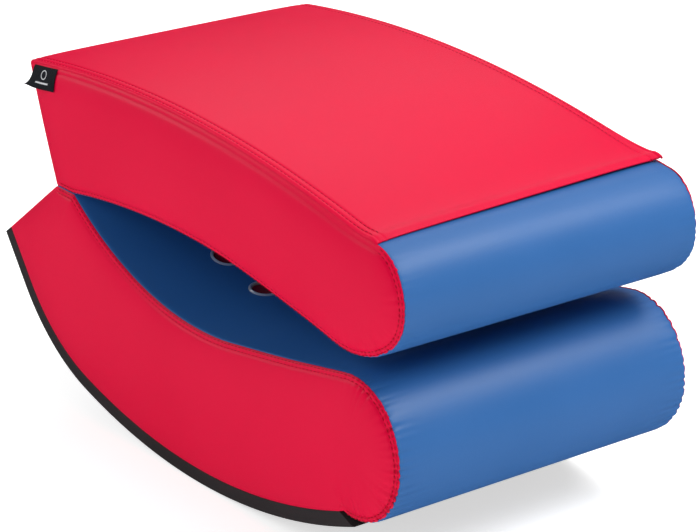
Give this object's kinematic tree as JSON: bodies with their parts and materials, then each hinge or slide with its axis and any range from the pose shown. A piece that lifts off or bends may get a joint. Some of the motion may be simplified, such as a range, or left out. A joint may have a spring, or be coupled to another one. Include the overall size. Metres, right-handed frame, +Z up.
{
  "type": "folding foam rocker seat",
  "caption": "Folding rocking seat of vinyl-covered foam: a rocker block with an anti-slip sole and an arched backrest block, hinged at one edge and shown folded shut.",
  "frame": {"origin": "centre of the footprint, at floor level", "axes": "+X along the length towards the padded noses, +Z up, +Y to the seat's left side"},
  "size_m": [0.798, 0.426, 0.44],
  "materials": {
    "red_vinyl": "satin",
    "blue_vinyl": "satin",
    "black_sole": "matte",
    "black_lining": "matte",
    "firm_foam": "matte",
    "soft_foam": "matte",
    "wadding": "matte",
    "vent_metal": "satin",
    "vent_mesh": "matte",
    "zip_tape": "matte",
    "zip_coil": "matte",
    "zip_metal": "satin",
    "woven_label": "matte"
  },
  "bodies": {
    "seat": {"seat_foam_core": "firm_foam", "seat_comfort_foam": "soft_foam", "seat_side_wadding_left": "wadding", "seat_side_wadding_right": "wadding", "seat_side_panel_left": "red_vinyl", "seat_side_panel_right": "red_vinyl", "seat_panel": "blue_vinyl", "seat_end_panel": "red_vinyl", "seat_bottom_panel": "black_lining", "rocker_sole": "black_sole", "hinge_strip_seat_half": "red_vinyl", "vent_grommet_1": "vent_metal", "vent_grommet_2": "vent_metal", "vent_grommet_3": "vent_metal", "vent_grommet_4": "vent_metal", "vent_washer_1": "vent_metal", "vent_washer_2": "vent_metal", "vent_washer_3": "vent_metal", "vent_washer_4": "vent_metal", "vent_mesh_1": "vent_mesh", "vent_mesh_2": "vent_mesh", "vent_mesh_3": "vent_mesh", "vent_mesh_4": "vent_mesh", "seat_zip_tape_front": "zip_tape", "seat_zip_tape_rear": "zip_tape", "seat_zip_coil": "zip_coil", "seat_zip_stop_left": "zip_metal", "seat_zip_stop_right": "zip_metal"},
    "back": {"back_foam_core": "firm_foam", "back_comfort_foam": "soft_foam", "back_side_wadding_left": "wadding", "back_side_wadding_right": "wadding", "back_side_panel_left": "red_vinyl", "back_side_panel_right": "red_vinyl", "back_panel": "blue_vinyl", "back_end_panel": "red_vinyl", "back_outer_flap": "red_vinyl", "hinge_strip_back_half": "red_vinyl", "back_zip_tape_front": "zip_tape", "back_zip_tape_rear": "zip_tape", "back_zip_coil": "zip_coil", "back_zip_stop_left": "zip_metal", "back_zip_stop_right": "zip_metal"},
    "seat_zip_slider": {"seat_zip_slider": "zip_metal"},
    "seat_zip_pull": {"seat_zip_pull": "zip_metal"},
    "back_zip_slider": {"back_zip_slider": "zip_metal"},
    "back_zip_pull": {"back_zip_pull": "zip_metal"},
    "label": {"woven_label": "woven_label"}
  },
  "joints": [
    {"name": "fold", "type": "hinge", "parent": "seat", "child": "back", "pos_m": [-0.27102, 0, 0.27991], "axis": [0, -1, 0], "range_deg": [0, 106]},
    {"name": "seat_zip_slide", "type": "slide", "parent": "seat", "child": "seat_zip_slider", "axis": [0, 1, 0], "range_m": [-0.341, 0]},
    {"name": "seat_zip_pull_lift", "type": "hinge", "parent": "seat_zip_slider", "child": "seat_zip_pull", "pos_m": [0.32043, 0.1707, 0.06524], "axis": [0.9945, 0, 0.1045], "range_deg": [0, 80], "stiffness_Nm_per_rad": 0.004, "springref_deg": -5.73},
    {"name": "back_zip_slide", "type": "slide", "parent": "back", "child": "back_zip_slider", "axis": [0, 1, 0], "range_m": [-0.341, 0]},
    {"name": "back_zip_pull_lift", "type": "hinge", "parent": "back_zip_slider", "child": "back_zip_pull", "pos_m": [0.30964, 0.1707, 0.39225], "axis": [-0.9794, 0, 0.2018], "range_deg": [0, 7]},
    {"name": "label_lift", "type": "hinge", "parent": "back", "child": "label", "pos_m": [-0.27917, -0.20572, 0.42448], "axis": [-0.9929, 0, -0.1186], "range_deg": [0, 60]}
  ]
}
